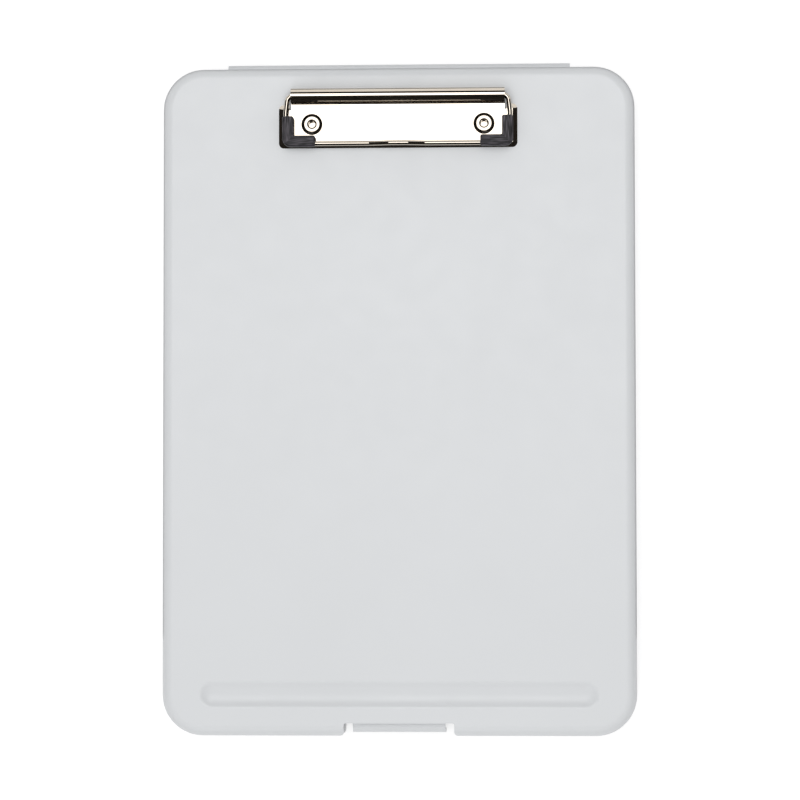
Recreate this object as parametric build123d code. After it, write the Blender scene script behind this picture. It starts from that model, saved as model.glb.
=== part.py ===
from build123d import *
import math
import os

# A storage clipboard: a shallow letter-size box whose lid is a writing board with a spring clip.
# Tray, lid and latch flap are one moulding, joined by thin living hinges.
# Frame: +X across the board, +Y to the hinge, +Z out of the lid. The origin is the middle of the back face.
# All sizes are in millimetres.

# Case: a tray and a lid that meet at the parting plane
case_w = 237.6
case_l = 335.6
case_corner_r = 20.5
tray_h = 14.0
lid_h = 10.0
wall = 2.2
edge_r = 5.0
rim_chamfer = 0.3
root = 0.3  # how far a rib or ledge runs into the wall that carries it

# Lip on the tray, inside the lid's skirt
skirt_t = 1.1
lip_gap = 0.2
lip_h = 2.0
lip_head_gap = 0.3

# Living hinge along the back edge, looped out from two ledges
hinge_l = 173.0
ledge_reach = 1.8
ledge_t = 1.2
ledge_round = 0.4
film_t = 0.4
film_inner_r = 0.3
film_run = 0.2

# Notch through the front edge, where the latch flap hangs
notch_w = 55.2
notch_d = 6.4
notch_mouth_r = 2.0
notch_inner_r = 1.0

# Latch flap on its own film, hung from the lid above the parting plane: a short shelf that turns down
latch_rise = 5.0
flap_side_gap = 4.4
flap_t = 1.5
flap_back_gap = 0.7
flap_reach = 4.0
flap_round_r = 3.0
flap_foot_z = 2.6
flap_lip_out = 0.6
flap_lip_h = 2.2
flap_lip_tip = 0.8
latch_ledge_reach = 0.6
latch_film_run = 0.4

# Catch: a keeper ridge on the tray's recess wall and a hook on the flap, with the bite left out
catch_l = 30.0
catch_drop = 6.5
catch_lead = 1.3
catch_step = 0.3
keeper_d = 0.35
hook_gap = 0.1
hook_brace = 1.6

# Pen groove across the foot of the lid
groove_l = 200.0
groove_half_w = 6.0
groove_depth = 2.0
groove_edge_r = 2.5
groove_inset = 20.6

# Clip plate: pressed sheet with sloping edges, its back edge curled into a barrel
sheet = 0.8
plate_w = 120.0
plate_l = 21.95
plate_h = 1.7
plate_slope_deg = 40.0
plate_round_r = 1.2
plate_corner_r = 2.6
barrel_inset = 14.95
barrel_r = 3.75
shoulder_w = 6.35
shoulder_gap = 0.25
curl_gap = 0.4
curl_foot_deg = -60.0
relief_w = 1.0
relief_l = 2.9

# Rivets that hold the plate: each goes through a pressed dimple that stands on the board
rivet_pitch = 86.5
rivet_setback = 10.1
rivet_shank_r = 2.5
rivet_fit = 0.05
rivet_head_r = 4.75
rivet_head_t = 1.2
rivet_roll_r = 5.3
rivet_roll_h = 1.1
rivet_roll_rim = 0.2
rivet_roll_slope = 1.4
rivet_mouth_r = 2.4
rivet_bore_r = 1.8
rivet_bore_floor = 1.0
dimple_top_r = 4.6
dimple_floor_r = 3.5

# Wire bail, sprung by its own two ends, which jog apart and lie side by side in the barrel
wire_r = 1.2
leg_gap = 0.45
leg_splay = 1.0
leg_splay_l = 8.5
leg_bend_r = 6.0
bail_corner_r = 3.0
end_gap = 0.2
end_tip = 40.0
end_jog_in = 42.0
end_jog_out = 50.0
hump_foot = 14.3
hump_top = 4.2
hump_h = 1.8
hump_bend_r = 12.0

# Grips: soft corners moulded round the wire, which runs near their outer side
grip_w = 5.6
grip_t = 5.0
grip_skin = 0.4
grip_leg = 15.4
grip_arm = 16.5
grip_front_inset = 0.2
grip_edge = 1.0
grip_corner_r = 4.0
grip_inner_r = 0.7

# Places and sizes that follow from the ones above
parting_z = tray_h
board_z = tray_h + lid_h
front_y = -case_l / 2
back_y = case_l / 2
lip_inset = skirt_t + lip_gap
film_outer_r = film_inner_r + film_t
flap_w = notch_w - 2 * flap_side_gap
recess_y = front_y + notch_d
flap_inner_y = recess_y - flap_back_gap
flap_outer_y = flap_inner_y - flap_reach
latch_y = recess_y - latch_ledge_reach - latch_film_run
latch_z = parting_z + latch_rise
catch_z = parting_z - catch_drop
hook_tip_y = recess_y - keeper_d - hook_gap
groove_y = front_y + groove_inset
groove_r = (groove_half_w**2 + groove_depth**2) / (2 * groove_depth)
groove_axis_z = board_z - groove_depth + groove_r
groove_lip = groove_edge_r * math.tan(math.asin(groove_half_w / groove_r) / 2)
barrel_l = plate_w - 2 * shoulder_w
barrel_y = back_y - barrel_inset
barrel_z = board_z + barrel_r
plate_inset = barrel_r + shoulder_gap
plate_y = barrel_y - plate_inset
slope = math.radians(plate_slope_deg)
rivet_y = plate_y - rivet_setback
leg_root_x = barrel_l / 2 + leg_gap + wire_r
bail_half_w = leg_root_x + leg_splay
bail_reach = plate_inset + plate_l - grip_front_inset - grip_skin - wire_r
run_y = barrel_y - bail_reach
grip_z = board_z + plate_h + grip_t / 2
splay_y = barrel_y - leg_splay_l
splay_z = barrel_z + (grip_z - barrel_z) * leg_splay_l / bail_reach
end_offset = wire_r + end_gap / 2


def side_profile(points):
    """Face in the YZ plane through (y, z) points."""
    return make_face(Polyline([(0, y, z) for y, z in points], close=True))


def along_x(face, length):
    """Solid of a YZ face drawn out to a length centred on X = 0."""
    return extrude(face, amount=length / 2, dir=(1, 0, 0), both=True)


# ---------------------------------------------------------------- case


def notch_face(inset):
    """Plan of the notch grown by an inset, with a band in front that rounds the mouth."""
    mouth_y = front_y + inset
    depth = notch_d
    slot = Pos(0, mouth_y + depth / 2) * Rectangle(notch_w + 2 * inset, depth)
    band = Pos(0, mouth_y - edge_r) * Rectangle(case_w, 2 * edge_r)
    face = slot + band
    inner = [v for v in face.vertices() if v.Y > mouth_y + depth / 2]
    face = fillet(inner, notch_inner_r + inset)
    mouth = [v for v in face.vertices() if abs(v.Y - mouth_y) < 0.01 and abs(v.X) < notch_w]
    if notch_mouth_r > inset:
        face = fillet(mouth, notch_mouth_r - inset)
    return face


def half_block(inset, height):
    """Solid half of the case above the plane Z = 0, drawn in by an inset."""
    plan = RectangleRounded(case_w - 2 * inset, case_l - 2 * inset, case_corner_r - inset)
    block = extrude(plan, height - inset)
    block = fillet(block.faces().sort_by(Axis.Z)[-1].edges(), edge_r - inset)
    return block - extrude(notch_face(inset), height)


def outline_slab(inset, height):
    """Slab of the case's plan drawn in by an inset."""
    plan = RectangleRounded(case_w - 2 * inset, case_l - 2 * inset, case_corner_r - inset)
    return extrude(plan - notch_face(inset), height)


def half_shell(height):
    """Open half shell with its rim on the plane Z = 0."""
    outer = half_block(0, height)
    rim = outer.faces().sort_by(Axis.Z)[0].edges()
    outer = chamfer(rim, rim_chamfer)
    return outer - half_block(wall, height)


def hinge_ledge():
    """Ledge on the back wall that carries one edge of the hinge film, above the plane Z = 0."""
    reach = ledge_reach + root
    middle_y = back_y + ledge_reach - reach / 2
    ledge = Pos(0, middle_y, film_inner_r + ledge_t / 2) * Box(hinge_l, reach, ledge_t)
    outer_edge = ledge.edges().filter_by(Axis.X).group_by(Axis.Y)[-1].sort_by(Axis.Z)[-1]
    return fillet(outer_edge, ledge_round)


def make_base_tray():
    """Tray with its lip, hinge ledge and latch keeper."""
    tray = mirror(half_shell(tray_h) + hinge_ledge(), about=Plane.XY)
    lip = outline_slab(lip_inset, lip_h) - outline_slab(wall, lip_h)
    tray = Pos(0, 0, parting_z) * (tray + lip)
    keeper = side_profile([
        (recess_y + root, catch_z),
        (recess_y - keeper_d, catch_z),
        (recess_y - keeper_d, catch_z + catch_step),
        (recess_y + root, catch_z + catch_lead),
    ])
    return tray + along_x(keeper, catch_l)


def groove_form(radius):
    """Round bar with ball ends, lying along the groove."""
    half = groove_l / 2 - groove_half_w - groove_lip
    axis = Plane((-half, groove_y, groove_axis_z), x_dir=(0, 1, 0), z_dir=(1, 0, 0))
    bar = extrude(axis * Circle(radius), 2 * half)
    for x in (-half, half):
        bar += Pos(x, groove_y, groove_axis_z) * Sphere(radius)
    return bar


def rivet_places():
    """Left and right rivet centres on the board."""
    return [(-rivet_pitch / 2, rivet_y), (rivet_pitch / 2, rivet_y)]


def is_groove_lip(edge):
    """True for the edges where the groove breaks through the board."""
    middle = edge.center()
    return abs(middle.Z - board_z) < 0.01 and abs(middle.Y - groove_y) < 2 * groove_half_w


def make_lid_panel():
    """Lid with its skirt rebate, pen groove, rivet holes and the ledges for both films."""
    lid = half_shell(lid_h) - outline_slab(skirt_t, lip_h + lip_head_gap)
    lid = Pos(0, 0, parting_z) * (lid + hinge_ledge())
    under_board = Pos(0, groove_y, board_z - wall - groove_r) * Box(case_w, 4 * groove_r, 2 * groove_r)
    lid += groove_form(groove_r + wall) & under_board
    lid -= groove_form(groove_r)
    lid = fillet([e for e in lid.edges() if is_groove_lip(e)], groove_edge_r)
    for x, y in rivet_places():
        lid -= Pos(x, y, board_z) * Cylinder(rivet_shank_r + rivet_fit, 4 * wall)
    reach = latch_ledge_reach + root
    middle_y = recess_y - latch_ledge_reach + reach / 2
    return lid + Pos(0, middle_y, latch_z + film_inner_r + ledge_t / 2) * Box(flap_w, reach, ledge_t)


def film_ring():
    """Section of a full film loop round its axis."""
    return Circle(film_outer_r) - Circle(film_inner_r)


def film_tab(run):
    """Section of the flat stretch that joins a film's loop to its ledge."""
    return Pos(-run / 2, film_inner_r + film_t / 2) * Rectangle(run, film_t)


def make_hinge_film():
    """Thin strip that loops out from one ledge to the other."""
    half = film_ring() & (Pos(film_outer_r, 0) * Rectangle(2 * film_outer_r, 4 * film_outer_r))
    tab = film_tab(film_run)
    frame = Plane((0, back_y + ledge_reach + film_run, parting_z), x_dir=(0, 1, 0), z_dir=(1, 0, 0))
    return along_x(frame * (half + tab + mirror(tab, about=Plane.XZ)), hinge_l)


# ---------------------------------------------------------------- latch


def make_latch_film():
    """Quarter loop from the lid's ledge down to the top of the flap."""
    quarter = film_ring() & (Pos(film_outer_r, film_outer_r) * Rectangle(2 * film_outer_r, 2 * film_outer_r))
    frame = Plane((0, latch_y, latch_z), x_dir=(0, -1, 0), z_dir=(-1, 0, 0))
    return along_x(frame * (quarter + film_tab(latch_film_run)), flap_w)


def make_latch_flap():
    """Flap whose shelf turns down in a round bend, with a pull lip at its foot and a hook on its inner face."""
    wall_y = flap_outer_y + flap_t
    lip_z = flap_foot_z + flap_lip_h
    flap = side_profile([
        (flap_inner_y, latch_z),
        (flap_outer_y, latch_z),
        (flap_outer_y, lip_z),
        (flap_outer_y - flap_lip_out, flap_foot_z + flap_lip_tip),
        (flap_outer_y - flap_lip_out, flap_foot_z),
        (wall_y, flap_foot_z),
        (wall_y, latch_z - flap_t),
        (flap_inner_y, latch_z - flap_t),
    ])
    outer = flap.vertices().filter_by(lambda v: v.Z > latch_z - 0.01).sort_by(Axis.Y)[0]
    flap = fillet(outer, flap_round_r)
    inner = flap.vertices().filter_by(lambda v: abs(v.Z - latch_z + flap_t) < 0.01).sort_by(Axis.Y)[0]
    flap = fillet(inner, flap_round_r - flap_t)
    hook_z = catch_z - catch_step
    hook = side_profile([
        (wall_y - root, hook_z),
        (hook_tip_y, hook_z),
        (hook_tip_y, hook_z - catch_step),
        (wall_y - root, hook_z - catch_step - hook_brace),
    ])
    return along_x(flap, flap_w) + along_x(hook, catch_l)


# ---------------------------------------------------------------- clip


def pressed_form(depth):
    """Solid under one face of the plate's sheet, a depth below its outer face, with the dimples pressed in."""
    shift = depth / math.sin(slope)
    height = plate_h - depth
    plan = RectangleRounded(plate_w - 2 * shift, plate_l - 2 * shift, plate_corner_r - shift)
    pan = extrude(plan, height, taper=90 - plate_slope_deg)
    if plate_round_r > depth:
        pan = fillet(pan.faces().sort_by(Axis.Z)[-1].edges(), plate_round_r - depth)
    pan = Pos(0, plate_y - plate_l / 2, board_z) * pan
    cone_slope = math.atan2(plate_h - sheet, dimple_top_r - dimple_floor_r)
    floor_r = dimple_floor_r + depth * math.tan(cone_slope / 2)
    mouth_r = floor_r + height / math.tan(cone_slope)
    cone = Cone(floor_r, mouth_r, height, align=(Align.CENTER, Align.CENTER, Align.MIN))
    for x, y in rivet_places():
        pan -= Pos(x, y, board_z + sheet - depth) * cone
    return pan


def polar(radius, angle):
    """Point of the curl's section at a radius and angle from the barrel's axis."""
    return (radius * math.cos(angle), radius * math.sin(angle))


def curl_face():
    """Section of the sheet from the plate's flat, down a short ramp and round into the barrel."""
    inner_r = barrel_r - sheet
    foot = math.radians(curl_foot_deg)
    end = -math.asin((barrel_r - plate_h - curl_gap) / barrel_r)
    far = 2 * barrel_r
    seam = make_face(Polyline([(0, 0), polar(far, end), polar(far, foot)], close=True))
    flat_top = plate_h - barrel_r
    flat_low = flat_top - sheet
    outer_foot = polar(barrel_r, foot)
    inner_foot = polar(inner_r, foot)
    rise = math.tan(foot + math.pi / 2)
    joint = plate_inset + relief_l + root
    ramp = make_face(Polyline([
        outer_foot,
        (outer_foot[0] + (flat_low - outer_foot[1]) / rise, flat_low),
        (joint, flat_low),
        (joint, flat_top),
        (inner_foot[0] + (flat_top - inner_foot[1]) / rise, flat_top),
        inner_foot,
    ], close=True))
    return Circle(barrel_r) - Circle(inner_r) - seam + ramp


def make_clip_base_plate():
    """Pressed plate with sloping edges, two dimples and the curled barrel."""
    plate = pressed_form(0) - pressed_form(sheet)
    back = Pos(0, plate_y - relief_l / 2, board_z + plate_h / 2)
    plate -= back * Box(barrel_l + 2 * relief_w, relief_l, 2 * plate_h)
    frame = Plane((0, barrel_y, barrel_z), x_dir=(0, -1, 0), z_dir=(-1, 0, 0))
    plate += along_x(frame * curl_face(), barrel_l)
    for x, y in rivet_places():
        plate -= Pos(x, y, board_z) * Cylinder(rivet_shank_r + rivet_fit, 4 * sheet)
    return plate


def make_rivet(x, y):
    """Semi-tubular rivet: head under the board, shank through it, and its end rolled over onto the plate."""
    head_z = board_z - wall
    foot_z = head_z - rivet_head_t
    roll_z = board_z + plate_h
    top_z = roll_z + rivet_roll_h
    bore_z = head_z + rivet_bore_floor
    mouth_ease = rivet_mouth_r - rivet_bore_r
    outline = Polyline([
        (0, 0, foot_z),
        (rivet_head_r - rivet_head_t / 2, 0, foot_z),
        (rivet_head_r, 0, foot_z + rivet_head_t / 2),
        (rivet_head_r, 0, head_z),
        (rivet_shank_r, 0, head_z),
        (rivet_shank_r, 0, roll_z),
        (rivet_roll_r, 0, roll_z),
        (rivet_roll_r, 0, roll_z + rivet_roll_rim),
        (rivet_roll_r - rivet_roll_slope, 0, top_z),
        (rivet_mouth_r, 0, top_z),
        (rivet_bore_r, 0, top_z - mouth_ease),
        (rivet_bore_r, 0, bore_z),
        (0, 0, bore_z),
    ], close=True)
    return Pos(x, y, 0) * revolve(make_face(outline), Axis.Z)


def barrel_end(side, offset):
    """Path of one wire end, from its tip past the middle of the barrel out to the barrel's mouth."""
    return Polyline(
        (side * -end_tip, barrel_y, barrel_z + offset),
        (side * end_jog_in, barrel_y, barrel_z + offset),
        (side * end_jog_out, barrel_y, barrel_z),
    )


def make_clip_wire():
    """One bent wire: two legs, a run with a finger hump, and two ends that lie side by side in the barrel."""
    corner_bends = [bail_corner_r, leg_bend_r, bail_corner_r]
    loop = FilletPolyline(
        (-end_jog_out, barrel_y, barrel_z),
        (-leg_root_x, barrel_y, barrel_z),
        (-bail_half_w, splay_y, splay_z),
        (-bail_half_w, run_y, grip_z),
        (-hump_foot, run_y, grip_z),
        (-hump_top, run_y, grip_z + hump_h),
        (hump_top, run_y, grip_z + hump_h),
        (hump_foot, run_y, grip_z),
        (bail_half_w, run_y, grip_z),
        (bail_half_w, splay_y, splay_z),
        (leg_root_x, barrel_y, barrel_z),
        (end_jog_out, barrel_y, barrel_z),
        radius=corner_bends + [hump_bend_r] * 4 + corner_bends[::-1],
    )
    path = Wire(barrel_end(-1, end_offset).edges() + loop.edges() + barrel_end(1, -end_offset).edges())
    start = Plane(origin=path @ 0, z_dir=path % 0)
    return sweep(start * Circle(wire_r), path, transition=Transition.RIGHT)


def make_left_grip(wire):
    """L-shaped soft corner round the left bend of the wire."""
    outer_x = -bail_half_w - wire_r - grip_skin
    outer_y = run_y - wire_r - grip_skin
    leg = Pos(outer_x + grip_w / 2, outer_y + grip_leg / 2) * Rectangle(grip_w, grip_leg)
    arm = Pos(outer_x + grip_arm / 2, outer_y + grip_w / 2) * Rectangle(grip_arm, grip_w)
    face = leg + arm
    corner = face.vertices().sort_by(lambda v: v.X + v.Y)[0]
    face = fillet(corner, grip_corner_r)
    inner = [
        v for v in face.vertices()
        if abs(v.X - outer_x - grip_w) < 0.01 and abs(v.Y - outer_y - grip_w) < 0.01
    ]
    face = fillet(inner, grip_inner_r)
    grip = extrude(face, grip_t)
    grip = chamfer(grip.faces().filter_by(Axis.Z).edges(), grip_edge)
    return Pos(0, 0, grip_z - grip_t / 2) * grip - wire


# ---------------------------------------------------------------- output


def make_parts():
    """Every node of the assembly by name."""
    wire = make_clip_wire()
    left_grip = make_left_grip(wire)
    left_rivet, right_rivet = [make_rivet(x, y) for x, y in rivet_places()]
    return {
        "base_tray": make_base_tray(),
        "hinge_film": make_hinge_film(),
        "lid_panel": make_lid_panel(),
        "latch_film": make_latch_film(),
        "latch_flap": make_latch_flap(),
        "clip_base_plate": make_clip_base_plate(),
        "left_rivet": left_rivet,
        "right_rivet": right_rivet,
        "clip_wire": wire,
        "left_grip": left_grip,
        "right_grip": mirror(left_grip, about=Plane.YZ),
    }


os.makedirs("parts", exist_ok=True)
for name, shape in make_parts().items():
    export_step(shape, f"parts/{name}.step")
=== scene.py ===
import math
import bmesh
import bpy
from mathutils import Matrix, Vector


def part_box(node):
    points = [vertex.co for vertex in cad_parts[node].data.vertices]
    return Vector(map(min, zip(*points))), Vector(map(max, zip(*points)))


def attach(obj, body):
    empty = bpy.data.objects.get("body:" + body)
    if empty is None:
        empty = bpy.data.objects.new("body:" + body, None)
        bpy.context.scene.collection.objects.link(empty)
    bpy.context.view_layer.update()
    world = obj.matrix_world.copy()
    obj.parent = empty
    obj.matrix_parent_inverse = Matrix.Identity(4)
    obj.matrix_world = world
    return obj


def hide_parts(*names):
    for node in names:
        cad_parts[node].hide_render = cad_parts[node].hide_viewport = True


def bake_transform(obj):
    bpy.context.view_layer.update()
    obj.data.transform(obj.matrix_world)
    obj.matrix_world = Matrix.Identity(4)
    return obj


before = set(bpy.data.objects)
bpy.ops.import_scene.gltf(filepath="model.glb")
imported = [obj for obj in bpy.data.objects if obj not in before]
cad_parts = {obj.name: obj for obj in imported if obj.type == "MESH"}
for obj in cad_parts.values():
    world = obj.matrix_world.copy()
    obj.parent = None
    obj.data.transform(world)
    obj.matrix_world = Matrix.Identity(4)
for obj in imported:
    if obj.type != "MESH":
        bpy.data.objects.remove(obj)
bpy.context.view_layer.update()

# ---------------------------------------------------------------- case

# Tray and lid: two shallow half shells that close to a flat box, with the writing board on the lid.
# Both come from one shot of polypropylene in a polished steel mould, so they share one pale grey.
# The back edges are joined by a thin hinge, and the lid's skirt goes round a lip on the tray.

# A noise pattern hardly leaves the band between these two levels, so a gloss is spread over it.
noise_low = 0.3
noise_high = 0.7


def linear(hex_colour):
    """Scene colour with alpha of an sRGB hex value."""
    channels = [int(hex_colour[i:i + 2], 16) / 255 for i in (1, 3, 5)]
    return [c / 12.92 if c <= 0.04045 else ((c + 0.055) / 1.055) ** 2.4 for c in channels] + [1]


def add_node(tree, kind, settings, links):
    """A node with its settings, and its inputs linked to (node, output) pairs. Inputs go by name or
    number: a colour Mix goes from its input 6 to 7 by 0, and a plain Mix from 2 to 3."""
    node = tree.nodes.new(kind)
    for name, value in settings.items():
        if isinstance(name, str) and hasattr(node, name):
            setattr(node, name, value)
        else:
            node.inputs[name].default_value = value
    for name, (source, output) in links.items():
        tree.links.new(source.outputs[output], node.inputs[name])
    return node


def start_material(name, settings):
    """Material whose shader has its plain inputs set by name."""
    material = bpy.data.materials.new(name)
    material.use_nodes = True
    shader = material.node_tree.nodes["Principled BSDF"]
    for socket, value in settings.items():
        shader.inputs[socket].default_value = value
    return material


def finish_material(material, colour, rough, bump):
    """Links the shader to a pattern's colour Mix, roughness and bump nodes."""
    tree = material.node_tree
    shader = tree.nodes["Principled BSDF"]
    tree.links.new(colour.outputs[2], shader.inputs["Base Color"])
    tree.links.new(rough.outputs[0], shader.inputs["Roughness"])
    tree.links.new(bump.outputs[0], shader.inputs["Normal"])
    return material


def moulded_polypropylene():
    """Polypropylene from a polished mould. It gives a soft gloss, faint clouds where the melt flowed,
    a few dark specks in the resin and the fine orange peel of a thick moulding."""
    grey = "#d7d9db"
    pale_grey = "#dbdddf"
    speck_grey = "#9aa4ab"
    cloud = 0.060
    speck_cell = 0.055
    speck_r = 0.00030
    speck_core_r = 0.00018
    speck_strength = 0.35
    gloss_patch = 0.012
    glossy = 0.30
    dull = 0.38
    peel = 0.0009
    peel_depth = 0.000004
    material = start_material("moulded_polypropylene", {"IOR": 1.49})
    tree = material.node_tree
    place = add_node(tree, "ShaderNodeTexCoord", {}, {})
    clouds = add_node(
        tree, "ShaderNodeTexNoise", {"Scale": 1 / cloud, "Detail": 2.0}, {"Vector": (place, "Object")},
    )
    body = add_node(
        tree, "ShaderNodeMix", {"data_type": "RGBA", 6: linear(grey), 7: linear(pale_grey)},
        {0: (clouds, "Fac")},
    )
    cells = add_node(
        tree, "ShaderNodeTexVoronoi", {"Scale": 1 / speck_cell}, {"Vector": (place, "Object")},
    )
    speck = add_node(
        tree, "ShaderNodeMapRange",
        {
            "From Min": speck_core_r / speck_cell, "From Max": speck_r / speck_cell,
            "To Min": speck_strength, "To Max": 0.0,
        },
        {"Value": (cells, "Distance")},
    )
    colour = add_node(
        tree, "ShaderNodeMix", {"data_type": "RGBA", 7: linear(speck_grey)},
        {0: (speck, 0), 6: (body, 2)},
    )
    gloss = add_node(
        tree, "ShaderNodeTexNoise", {"Scale": 1 / gloss_patch}, {"Vector": (place, "Object")},
    )
    rough = add_node(
        tree, "ShaderNodeMapRange",
        {"From Min": noise_low, "From Max": noise_high, "To Min": glossy, "To Max": dull},
        {"Value": (gloss, "Fac")},
    )
    grain = add_node(
        tree, "ShaderNodeTexNoise", {"Scale": 1 / peel, "Detail": 1.0}, {"Vector": (place, "Object")},
    )
    bump = add_node(
        tree, "ShaderNodeBump", {"Distance": peel_depth, "Strength": 1.0}, {"Height": (grain, "Fac")},
    )
    return finish_material(material, colour, rough, bump)


polypropylene = moulded_polypropylene()
for name in ("base_tray", "lid_panel", "latch_flap"):
    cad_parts[name].material_slots[0].material = polypropylene

# ---------------------------------------------------------------- hinge and latch films

# Living hinges: thin strips of the same shot that join the two halves and hang the latch flap.
# Each is a loop of film 0.4 mm thick, bent as it leaves the mould while it is still warm.
# Its two edges run into the ledges of the pieces that it joins.
film_t = 0.0004
film_inner_r = 0.0003
film_outer_r = film_inner_r + film_t
hinge_run = 0.0002
latch_run = 0.0004
film_steps = 12
merge_below = 0.000001
smooth_below = math.radians(38)


def finish_piece(bm, name, material):
    """Object at the origin from a bmesh whose places are final, smooth over its low edges."""
    bmesh.ops.remove_doubles(bm, verts=bm.verts, dist=merge_below)
    bmesh.ops.recalc_face_normals(bm, faces=bm.faces)
    mesh = bpy.data.meshes.new(name)
    bm.to_mesh(mesh)
    bm.free()
    mesh.materials.append(material)
    mesh.shade_smooth()
    mesh.set_sharp_from_angle(angle=smooth_below)
    piece = bpy.data.objects.new(name, mesh)
    bpy.context.scene.collection.objects.link(piece)
    return piece


def push(bm, extruded, step):
    """Moves by a step what an extrusion has made."""
    moved = [v for v in extruded["geom"] if isinstance(v, bmesh.types.BMVert)]
    bmesh.ops.translate(bm, verts=moved, vec=step)


def film_loop(name, low, high, axis, turn, first, runs):
    """Strip of film spun by a turn round an axis along X. Its first rim stands off the axis along first,
    and each of its two rims may run on by a straight stretch."""
    bm = bmesh.new()
    start = Vector((low.x, axis.y, axis.z))
    ends = [bm.verts.new(start + first * r) for r in (film_inner_r, film_outer_r)]
    rim = bm.edges.new(ends)
    swept = bmesh.ops.spin(
        bm, geom=ends + [rim], cent=start, axis=(1, 0, 0), angle=turn, steps=film_steps,
    )
    last = [e for e in swept["geom_last"] if isinstance(e, bmesh.types.BMEdge)]
    for edges, run in zip(([rim], last), runs):
        if run.length > 0:
            push(bm, bmesh.ops.extrude_edge_only(bm, edges=edges), run)
    push(bm, bmesh.ops.extrude_face_region(bm, geom=bm.faces[:]), (high.x - low.x, 0, 0))
    return finish_piece(bm, name, polypropylene)


low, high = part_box("hinge_film")
axis = Vector((0, high.y - film_outer_r, (low.z + high.z) / 2))
run = Vector((0, -hinge_run, 0))
hinge = film_loop("hinge_strip", low, high, axis, math.pi, Vector((0, 0, -1)), [run, run])
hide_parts("hinge_film")
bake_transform(hinge)

low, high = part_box("latch_film")
axis = Vector((0, low.y + film_outer_r, low.z))
run = Vector((0, latch_run, 0))
latch = film_loop("latch_strip", low, high, axis, math.pi / 2, Vector((0, 0, 1)), [run, Vector()])
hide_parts("latch_film")
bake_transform(latch)

# ---------------------------------------------------------------- clip plate

# Clip plate: spring steel sheet pressed to a shallow pan, with its back edge curled to a barrel.
# It is bright nickel plated, and two rivets through dimples hold it on the board.


def bright_nickel(name, clean, marked, polish, rolled):
    """Bright nickel over rolled steel. It gives a warm mirror, drawn out a little along the rolling,
    with slow ripples left by the press and faint cloudy marks of handling. The rolling lines are
    drawn 0.25 mm apart, coarser than they are, so that they show in the gloss."""
    ripple = 0.009
    ripple_depth = 0.000003
    line_across = 0.00025
    line_along = 0.012
    smudge = 0.006
    material = start_material(name, {"Metallic": 1.0})
    tree = material.node_tree
    place = add_node(tree, "ShaderNodeTexCoord", {}, {})
    smudges = add_node(
        tree, "ShaderNodeTexNoise", {"Scale": 1 / smudge, "Detail": 3.0}, {"Vector": (place, "Object")},
    )
    colour = add_node(
        tree, "ShaderNodeMix", {"data_type": "RGBA", 6: linear(clean), 7: linear(marked)},
        {0: (smudges, "Fac")},
    )
    stretch = add_node(
        tree, "ShaderNodeMapping", {"Scale": (1 / line_along, 1 / line_across, 1 / line_across)},
        {"Vector": (place, "Object")},
    )
    lines = add_node(
        tree, "ShaderNodeTexNoise", {"Scale": 1.0, "Detail": 2.0}, {"Vector": (stretch, 0)},
    )
    rough = add_node(
        tree, "ShaderNodeMapRange",
        {"From Min": noise_low, "From Max": noise_high, "To Min": polish, "To Max": polish + rolled},
        {"Value": (lines, "Fac")},
    )
    waves = add_node(
        tree, "ShaderNodeTexNoise", {"Scale": 1 / ripple, "Detail": 0.0}, {"Vector": (place, "Object")},
    )
    bump = add_node(
        tree, "ShaderNodeBump", {"Distance": ripple_depth, "Strength": 1.0}, {"Height": (waves, "Fac")},
    )
    return finish_material(material, colour, rough, bump)


sheet_nickel = bright_nickel("bright_nickel_sheet", "#d9d0c3", "#d2c8ba", polish=0.03, rolled=0.03)
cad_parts["clip_base_plate"].material_slots[0].material = sheet_nickel

# ---------------------------------------------------------------- rivets

# Semi-tubular rivets of soft steel, nickel plated: a flat head under the board, a shank through board
# and plate, and a hollow end that the setting tool rolls out over the plate to a collar with an open bore.
head_t = 0.0012
head_r = 0.00475
head_edge_r = 0.0006
head_edge_steps = 10
shank_r = 0.0025
bore_r = 0.0018
bore_floor = 0.0010
collar_r = 0.0053
collar_h = 0.0011
collar_rim = 0.0005
collar_slope_w = 0.0015
mouth_slope_w = 0.0006
mouth_slope_h = 0.00023
round_steps = 96
worn_w = 0.00012
worn_steps = 3
worn_above = math.radians(15)
rivet_nickel = bright_nickel("bright_nickel_rivet", "#c8bfb2", "#bfb5a8", polish=0.06, rolled=0.06)


def draw_to(bm, end, place):
    """Draws a profile on from its end vertex to a place, and returns its new end."""
    new = bmesh.ops.extrude_vert_indiv(bm, verts=[end])["verts"][0]
    new.co = place
    return new


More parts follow.
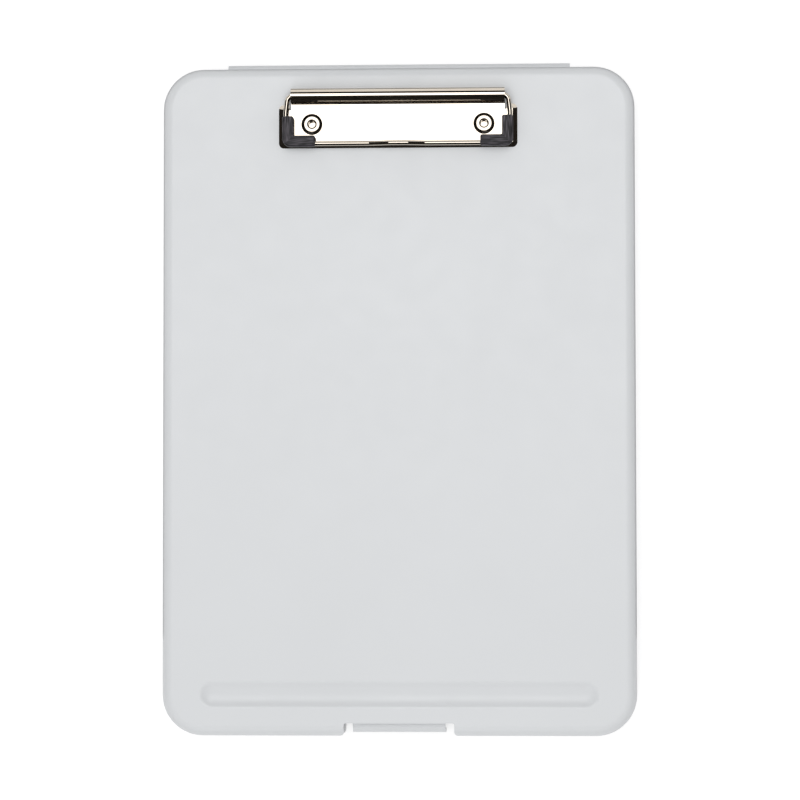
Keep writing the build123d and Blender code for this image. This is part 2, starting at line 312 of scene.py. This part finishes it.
for name in ("left_rivet", "right_rivet"):
    low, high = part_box(name)
    middle = (low + high) / 2
    head_top = low.z + head_t
    collar_foot = high.z - collar_h
    edge_x = middle.x + head_r - head_edge_r
    bm = bmesh.new()
    end = draw_to(bm, bm.verts.new((middle.x, middle.y, low.z)), (edge_x, middle.y, low.z))
    edge = bmesh.ops.spin(
        bm, geom=[end], cent=(edge_x, middle.y, low.z + head_edge_r), axis=(0, -1, 0),
        angle=math.pi / 2, steps=head_edge_steps,
    )
    end = next(v for v in edge["geom_last"] if isinstance(v, bmesh.types.BMVert))
    for radius, z in (
        (head_r, head_top),
        (shank_r, head_top),
        (shank_r, collar_foot),
        (collar_r, collar_foot),
        (collar_r, collar_foot + collar_rim),
        (collar_r - collar_slope_w, high.z),
        (bore_r + mouth_slope_w, high.z),
        (bore_r, high.z - mouth_slope_h),
        (bore_r, head_top + bore_floor),
        (0, head_top + bore_floor),
    ):
        end = draw_to(bm, end, (middle.x + radius, middle.y, z))
    bmesh.ops.spin(
        bm, geom=bm.verts[:] + bm.edges[:], cent=middle, axis=(0, 0, 1),
        angle=2 * math.pi, steps=round_steps, use_merge=True,
    )
    rivet = finish_piece(bm, name.replace("rivet", "tube_rivet"), rivet_nickel)
    soften = rivet.modifiers.new("worn_edges", "BEVEL")
    soften.width = worn_w
    soften.segments = worn_steps
    soften.limit_method = "ANGLE"
    soften.angle_limit = worn_above
    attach(rivet, "lid")
    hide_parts(name)

# ---------------------------------------------------------------- wire bail

# Wire bail: one length of hard drawn spring wire, bent cold and nickel plated.
# Its ends lie in the barrel and twist to press the run down on the sheets.
wire_nickel = bright_nickel("bright_nickel_wire", "#d9d0c3", "#d2c8ba", polish=0.03, rolled=0.03)
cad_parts["clip_wire"].material_slots[0].material = wire_nickel

# ---------------------------------------------------------------- grips

# Grips: black vinyl corners moulded round the wire, so that the bail neither slips nor marks the sheets.
# They are matt, and finely ribbed along each leg.
grip_w = 0.0056
grip_corner_r = 0.0040
grip_corner_steps = 8
grip_inner_r = 0.0007
grip_edge_r = 0.0010
grip_edge_steps = 4
edge_above = math.radians(40)


def soft_vinyl(corner):
    """Plasticised PVC from a spark-eroded mould. It gives a matt black with a faint violet cast, and pale
    streaks of painted sheen on the crests of the fine ribs that run along each leg and meet on the corner's
    diagonal.
    The ribs are drawn 0.45 mm apart, a little coarser than they are, so that they show."""
    black = "#161418"
    # The pale grey is a painted sheen, laid on the rib crests where light would catch them.
    sheen_grey = "#5c575e"
    rib = 0.00045
    rib_depth = 0.00009
    streak_along = 0.006
    sheen_low = 0.40
    sheen_high = 0.75
    grain = 0.0003
    glossy = 0.48
    dull = 0.64
    material = start_material("soft_vinyl", {"IOR": 1.53})
    tree = material.node_tree
    place = add_node(tree, "ShaderNodeTexCoord", {}, {})
    mirrored = add_node(
        tree, "ShaderNodeVectorMath", {"operation": "ABSOLUTE"}, {0: (place, "Object")},
    )
    split = add_node(tree, "ShaderNodeSeparateXYZ", {}, {0: (mirrored, 0)})
    reach = add_node(
        tree, "ShaderNodeMath", {"operation": "ADD"}, {0: (split, "X"), 1: (split, "Y")},
    )
    on_side_leg = add_node(
        tree, "ShaderNodeMath", {"operation": "GREATER_THAN", 1: abs(corner.x) + corner.y}, {0: (reach, 0)},
    )
    streaks = {}
    for leg, scale in (
        ("side", (1 / rib, 1 / streak_along, 1 / rib)),
        ("front", (1 / streak_along, 1 / rib, 1 / rib)),
    ):
        drawn = add_node(tree, "ShaderNodeMapping", {"Scale": scale}, {"Vector": (place, "Object")})
        streaks[leg] = add_node(
            tree, "ShaderNodeTexNoise", {"Scale": 1.0, "Detail": 1.0}, {"Vector": (drawn, 0)},
        )
    ribs = add_node(
        tree, "ShaderNodeMix", {},
        {0: (on_side_leg, 0), 2: (streaks["front"], "Fac"), 3: (streaks["side"], "Fac")},
    )
    # Painted sheen: the higher a rib stands, the more of the pale grey it is painted with.
    painted_sheen = add_node(
        tree, "ShaderNodeMapRange", {"From Min": sheen_low, "From Max": sheen_high}, {"Value": (ribs, 0)},
    )
    colour = add_node(
        tree, "ShaderNodeMix", {"data_type": "RGBA", 6: linear(black), 7: linear(sheen_grey)},
        {0: (painted_sheen, 0)},
    )
    grains = add_node(tree, "ShaderNodeTexNoise", {"Scale": 1 / grain}, {"Vector": (place, "Object")})
    rough = add_node(
        tree, "ShaderNodeMapRange", {"To Min": glossy, "To Max": dull}, {"Value": (grains, "Fac")},
    )
    bump = add_node(
        tree, "ShaderNodeBump", {"Distance": rib_depth, "Strength": 1.0}, {"Height": (ribs, 0)},
    )
    return finish_material(material, colour, rough, bump)


low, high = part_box("left_grip")
vinyl = soft_vinyl(Vector((low.x + grip_w / 2, low.y + grip_w / 2, 0)))
outer = abs(low.x)
inner = outer - (high.x - low.x)
plan = [
    (outer, low.y), (inner, low.y), (inner, low.y + grip_w),
    (outer - grip_w, low.y + grip_w), (outer - grip_w, high.y), (outer, high.y),
]
for side, name in ((-1, "left_grip"), (1, "right_grip")):
    bm = bmesh.new()
    corners = [bm.verts.new((side * x, y, low.z)) for x, y in plan]
    bm.faces.new(corners)
    for corner, radius in ((corners[0], grip_corner_r), (corners[3], grip_inner_r)):
        bmesh.ops.bevel(
            bm, geom=[corner], offset=radius, affect="VERTICES", segments=grip_corner_steps,
            profile=0.5, material=-1,
        )
    push(bm, bmesh.ops.extrude_face_region(bm, geom=bm.faces[:]), (0, 0, high.z - low.z))
    bmesh.ops.recalc_face_normals(bm, faces=bm.faces)
    sharp = [e for e in bm.edges if e.calc_face_angle(0) > edge_above]
    bmesh.ops.bevel(
        bm, geom=sharp, offset=grip_edge_r, affect="EDGES", segments=grip_edge_steps,
        profile=0.5, material=-1,
    )
    grip = finish_piece(bm, name.replace("_grip", "_corner_grip"), vinyl)
    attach(grip, "bail")
    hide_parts(name)

# ---------------------------------------------------------------- lights

# Lights: an even fill from all round, a softbox overhead, a broad ceiling lamp and one in front.
# Reflections show the softbox, and the fill as a white room, but not the two other lamps.
fill = 0.575
softbox_z = 2.2
softbox_half_w = 0.55
softbox_front = 0.0
softbox_back = 1.3
softbox_y = (softbox_front + softbox_back) / 2
softbox_power = 8.4
ceiling_w = 2.0
ceiling_place = (-0.2, -0.2, 2.2)
ceiling_aim = (-0.2, -0.2, 0)
ceiling_power = 10.6
front_lamp_w = 1.2
front_lamp_place = (-0.3, -1.6, 1.6)
front_lamp_power = 9.0


def seen_directly(tree):
    """Node that is 1 for the rays of the picture itself and of the mirrors and glass in it,
    and 0 for the rays that light the object."""
    path = add_node(tree, "ShaderNodeLightPath", {}, {})
    seen = add_node(
        tree, "ShaderNodeMath", {"operation": "MAXIMUM"},
        {0: (path, "Is Camera Ray"), 1: (path, "Is Glossy Ray")},
    )
    return add_node(
        tree, "ShaderNodeMath", {"operation": "MAXIMUM"},
        {0: (seen, 0), 1: (path, "Is Transmission Ray")},
    )


world = bpy.data.worlds.new("even_fill")
bpy.context.scene.world = world
world.use_nodes = True
sky = world.node_tree
strength = add_node(
    sky, "ShaderNodeMapRange", {"To Min": fill, "To Max": 1.0}, {"Value": (seen_directly(sky), 0)},
)
sky.links.new(strength.outputs[0], sky.nodes["Background"].inputs["Strength"])
sky.nodes["Background"].inputs["Color"].default_value = (1, 1, 1, 1)


def soft_lamp(name, place, aim, width, depth, power):
    """Flat lamp of a width and depth that faces a point."""
    data = bpy.data.lights.new(name, "AREA")
    data.shape = "RECTANGLE"
    data.size = width
    data.size_y = depth
    data.energy = power
    lamp = bpy.data.objects.new(name, data)
    lamp.location = place
    lamp.rotation_euler = (Vector(aim) - Vector(place)).to_track_quat("-Z", "Y").to_euler()
    bpy.context.scene.collection.objects.link(lamp)
    return lamp


soft_lamp(
    "softbox", (0, softbox_y, softbox_z), (0, softbox_y, 0),
    2 * softbox_half_w, softbox_back - softbox_front, softbox_power,
)
for name, place, aim, width, power in (
    ("ceiling", ceiling_place, ceiling_aim, ceiling_w, ceiling_power),
    ("front_lamp", front_lamp_place, (0, 0, 0), front_lamp_w, front_lamp_power),
):
    soft_lamp(name, place, aim, width, width, power).visible_glossy = False

# ---------------------------------------------------------------- floor

# Floor: a wide sweep of seamless white paper, a fifth of a millimetre under the case.
# The case's shadow falls on it.
floor_r = 40.0
floor_steps = 96
floor_drop = 0.0002
matt = 0.9


def white_paper():
    """Seamless white paper. It glows a little in the picture, so that only the shadow stays off white."""
    glow = 0.6
    material = start_material("white_paper", {
        "Base Color": linear("#c8c8c8"), "Roughness": matt, "Specular IOR Level": 0.0,
        "Emission Color": (1, 1, 1, 1),
    })
    tree = material.node_tree
    glowing = add_node(
        tree, "ShaderNodeMath", {"operation": "MULTIPLY", 1: glow}, {0: (seen_directly(tree), 0)},
    )
    tree.links.new(glowing.outputs[0], tree.nodes["Principled BSDF"].inputs["Emission Strength"])
    return material


bm = bmesh.new()
bmesh.ops.create_circle(bm, cap_ends=True, segments=floor_steps, radius=floor_r)
bmesh.ops.translate(bm, verts=bm.verts, vec=(0, 0, -floor_drop))
floor = finish_piece(bm, "floor", white_paper())

# ---------------------------------------------------------------- black cards

# Black cards: what bright metal sees wherever it sees neither the softbox nor the white room behind.
# They hang round the softbox and stand on three sides, and one lies under the case and shows beside
# and behind it. Each is given by a corner and its two sides, and only reflections show it.
room = 2.6
card_foot = 0.02
card_top = softbox_z + 0.01
card_front = softbox_front - 0.08
card_back = 3.6
wall_back = 1.2
table_half_w = 0.19
table_front = -0.12
table_back = 0.24
table_z = -floor_drop / 2
across_room = (2 * room, 0, 0)
beside_softbox = (room - softbox_half_w, 0, 0)
to_back = (0, card_back - card_front, 0)
along_wall = (0, room + wall_back, 0)
up_wall = (0, 0, card_top - card_foot)
cards = {
    "front_card": ((-room, card_front, card_top), across_room, (0, -room - card_front, 0)),
    "front_wall": ((-room, -room, card_foot), across_room, up_wall),
    "left_card": ((-room, card_front, card_top), beside_softbox, to_back),
    "right_card": ((softbox_half_w, card_front, card_top), beside_softbox, to_back),
    "left_wall": ((-room, -room, card_foot), along_wall, up_wall),
    "right_wall": ((room, -room, card_foot), along_wall, up_wall),
    "back_card": ((-room, softbox_back, card_top), across_room, (0, card_back - softbox_back, 0)),
    "table_card": (
        (-table_half_w, table_front, table_z), (2 * table_half_w, 0, 0), (0, table_back - table_front, 0),
    ),
}
card_black = start_material("black_card", {"Base Color": linear("#24201c"), "Roughness": matt})
for name, sides in cards.items():
    corner, across, along = (Vector(side) for side in sides)
    bm = bmesh.new()
    outline = (corner, corner + across, corner + across + along, corner + along)
    bm.faces.new([bm.verts.new(place) for place in outline])
    card = finish_piece(bm, name, card_black)
    card.visible_camera = False
    card.visible_diffuse = False
    card.visible_shadow = False
    card.visible_transmission = False

# ---------------------------------------------------------------- camera

# Camera: 1.5 m above the floor, a little to the right and to the front of the board's middle,
# and turned to face it. Its turn is in degrees, and its lens and frame are in millimetres.
lens = 132.9
sensor_w = 36.0
camera_place = (0.06543, -0.06511, 1.5)
camera_turn = (2.52, 2.509, -0.073)

camera_data = bpy.data.cameras.new("camera")
camera_data.sensor_width = sensor_w
camera_data.lens = lens
camera = bpy.data.objects.new("camera", camera_data)
camera.location = camera_place
camera.rotation_euler = [math.radians(a) for a in camera_turn]
bpy.context.scene.collection.objects.link(camera)
bpy.context.scene.camera = camera
bpy.context.scene.view_settings.view_transform = "Standard"

bpy.context.view_layer.update()
